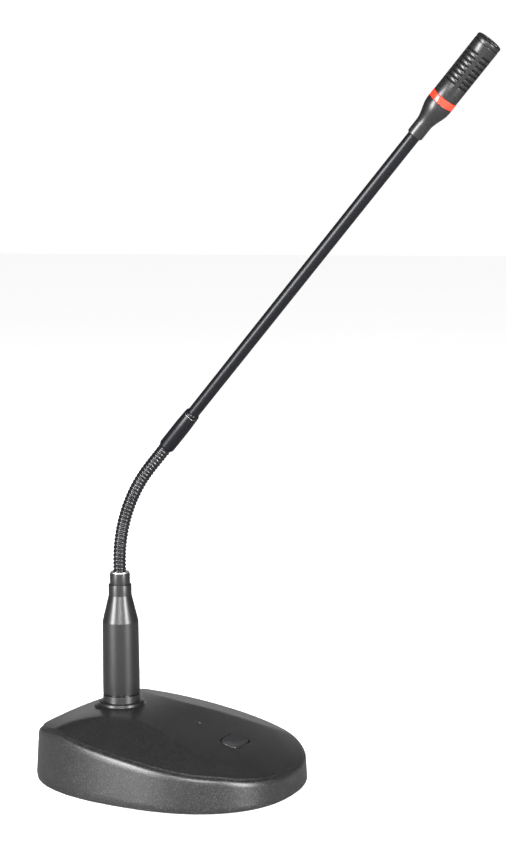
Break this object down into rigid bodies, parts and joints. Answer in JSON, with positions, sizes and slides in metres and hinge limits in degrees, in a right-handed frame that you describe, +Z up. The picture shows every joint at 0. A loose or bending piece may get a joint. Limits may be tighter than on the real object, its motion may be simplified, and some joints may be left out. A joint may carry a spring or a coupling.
{
  "type": "desktop gooseneck microphone",
  "caption": "Desk microphone: weighted oval base with talk button, plug-in bendable neck, slim arm tube and slotted head with a lit ring.",
  "frame": {"origin": "on the table, under the middle of the base's footprint", "axes": "+Z up, -Y toward the talker, +Y to the rear, +X to the talker's right"},
  "size_m": [0.1208, 0.2672, 0.403],
  "materials": {
    "shell_paint": "fine-grained dark charcoal paint",
    "plate_steel": "plain zinc-plated sheet",
    "ballast_iron": "as cast, sealed",
    "pad_rubber": "matt",
    "screw_steel": "zinc-plated",
    "board_green": "solder mask",
    "switch_plastic": "moulded",
    "plunger_plastic": "moulded",
    "button_plastic": "satin gloss",
    "lens_clear": "clear moulded",
    "led_red": "tinted epoxy",
    "collar_paint": "satin dark grey",
    "insert_black": "moulded",
    "contact_gold": "gold-plated",
    "nut_nickel": "nickel-plated",
    "jack_black": "moulded",
    "sleeve_paint": "satin dark grey",
    "neck_dark": "blackened spring steel",
    "tube_black": "smooth satin black",
    "lead_sheath": "sheathed lead",
    "head_paint": "satin dark grey",
    "ring_red": "translucent, lit",
    "screen_cloth": "fine black mesh",
    "mount_rubber": "matt",
    "capsule_metal": "satin"
  },
  "bodies": {
    "base": {"base_shell": "shell_paint", "bottom_plate": "plate_steel", "ballast": "ballast_iron", "rubber_pad": "pad_rubber", "case_screws": "screw_steel", "circuit_board": "board_green", "board_screws": "screw_steel", "button_switch": "switch_plastic", "status_lens": "lens_clear", "status_led": "led_red", "socket_collar": "collar_paint", "socket_insert": "insert_black", "socket_contacts": "contact_gold", "socket_nut": "nut_nickel", "output_jack": "jack_black", "jack_nut": "nut_nickel"},
    "button": {"talk_button": "button_plastic", "button_plunger": "plunger_plastic"},
    "plug": {"plug_barrel": "nut_nickel", "plug_insert": "insert_black", "plug_pins": "contact_gold", "plug_sleeve": "sleeve_paint", "sleeve_bush": "sleeve_paint", "neck_ferrule": "nut_nickel", "neck_root": "neck_dark"},
    "link_1": {"neck_link_1": "neck_dark"},
    "link_2": {"neck_link_2": "neck_dark"},
    "link_3": {"neck_link_3": "neck_dark"},
    "link_4": {"neck_link_4": "neck_dark"},
    "link_5": {"neck_link_5": "neck_dark"},
    "link_6": {"neck_link_6": "neck_dark"},
    "link_7": {"neck_link_7": "neck_dark"},
    "arm": {"neck_tip": "neck_dark", "tube_coupling": "tube_black", "arm_tube": "tube_black", "signal_lead": "lead_sheath", "head_flare": "head_paint", "ring_board": "board_green", "ring_leds": "led_red", "light_ring": "ring_red", "head_body": "head_paint", "wind_screen": "screen_cloth", "capsule_mount": "mount_rubber", "capsule": "capsule_metal", "end_cap": "head_paint"}
  },
  "joints": [
    {"name": "talk_button_press", "type": "slide", "parent": "base", "child": "button", "axis": [0, 0, -1], "range_m": [0, 0.0015], "stiffness_N_per_m": 400, "springref_m": -0.001},
    {"name": "plug_pull", "type": "slide", "parent": "base", "child": "plug", "axis": [0, 0, 1], "range_m": [0, 0.014]},
    {"name": "neck_fore_1", "type": "hinge", "parent": "plug", "child": "link_1", "pos_m": [0, 0.032, 0.12035], "axis": [1, 0, 0], "range_deg": [-15, 15]},
    {"name": "neck_side_1", "type": "hinge", "parent": "link_1", "child": "link_2", "pos_m": [0, 0.03155, 0.12904], "axis": [0, 0.9947, 0.1028], "range_deg": [-12, 12]},
    {"name": "neck_fore_2", "type": "hinge", "parent": "link_2", "child": "link_3", "pos_m": [0, 0.03021, 0.13763], "axis": [1, 0, 0], "range_deg": [-15, 15]},
    {"name": "neck_side_2", "type": "hinge", "parent": "link_3", "child": "link_4", "pos_m": [0, 0.028, 0.14604], "axis": [0, 0.9527, 0.304], "range_deg": [-12, 12]},
    {"name": "neck_fore_3", "type": "hinge", "parent": "link_4", "child": "link_5", "pos_m": [0, 0.02493, 0.15418], "axis": [1, 0, 0], "range_deg": [-15, 15]},
    {"name": "neck_side_3", "type": "hinge", "parent": "link_5", "child": "link_6", "pos_m": [0, 0.02105, 0.16196], "axis": [0, 0.8704, 0.4924], "range_deg": [-12, 12]},
    {"name": "neck_fore_4", "type": "hinge", "parent": "link_6", "child": "link_7", "pos_m": [0, 0.01638, 0.1693], "axis": [1, 0, 0], "range_deg": [-15, 15]},
    {"name": "neck_side_4", "type": "hinge", "parent": "link_7", "child": "arm", "pos_m": [0, 0.01098, 0.17612], "axis": [0, 0.7513, 0.66], "range_deg": [-12, 12]}
  ],
  "couplings": [
    {"joint": "neck_fore_2", "follows": "neck_fore_1", "ratio": 1},
    {"joint": "neck_fore_3", "follows": "neck_fore_1", "ratio": 1},
    {"joint": "neck_fore_4", "follows": "neck_fore_1", "ratio": 1},
    {"joint": "neck_side_2", "follows": "neck_side_1", "ratio": 1},
    {"joint": "neck_side_3", "follows": "neck_side_1", "ratio": 1},
    {"joint": "neck_side_4", "follows": "neck_side_1", "ratio": 1}
  ]
}
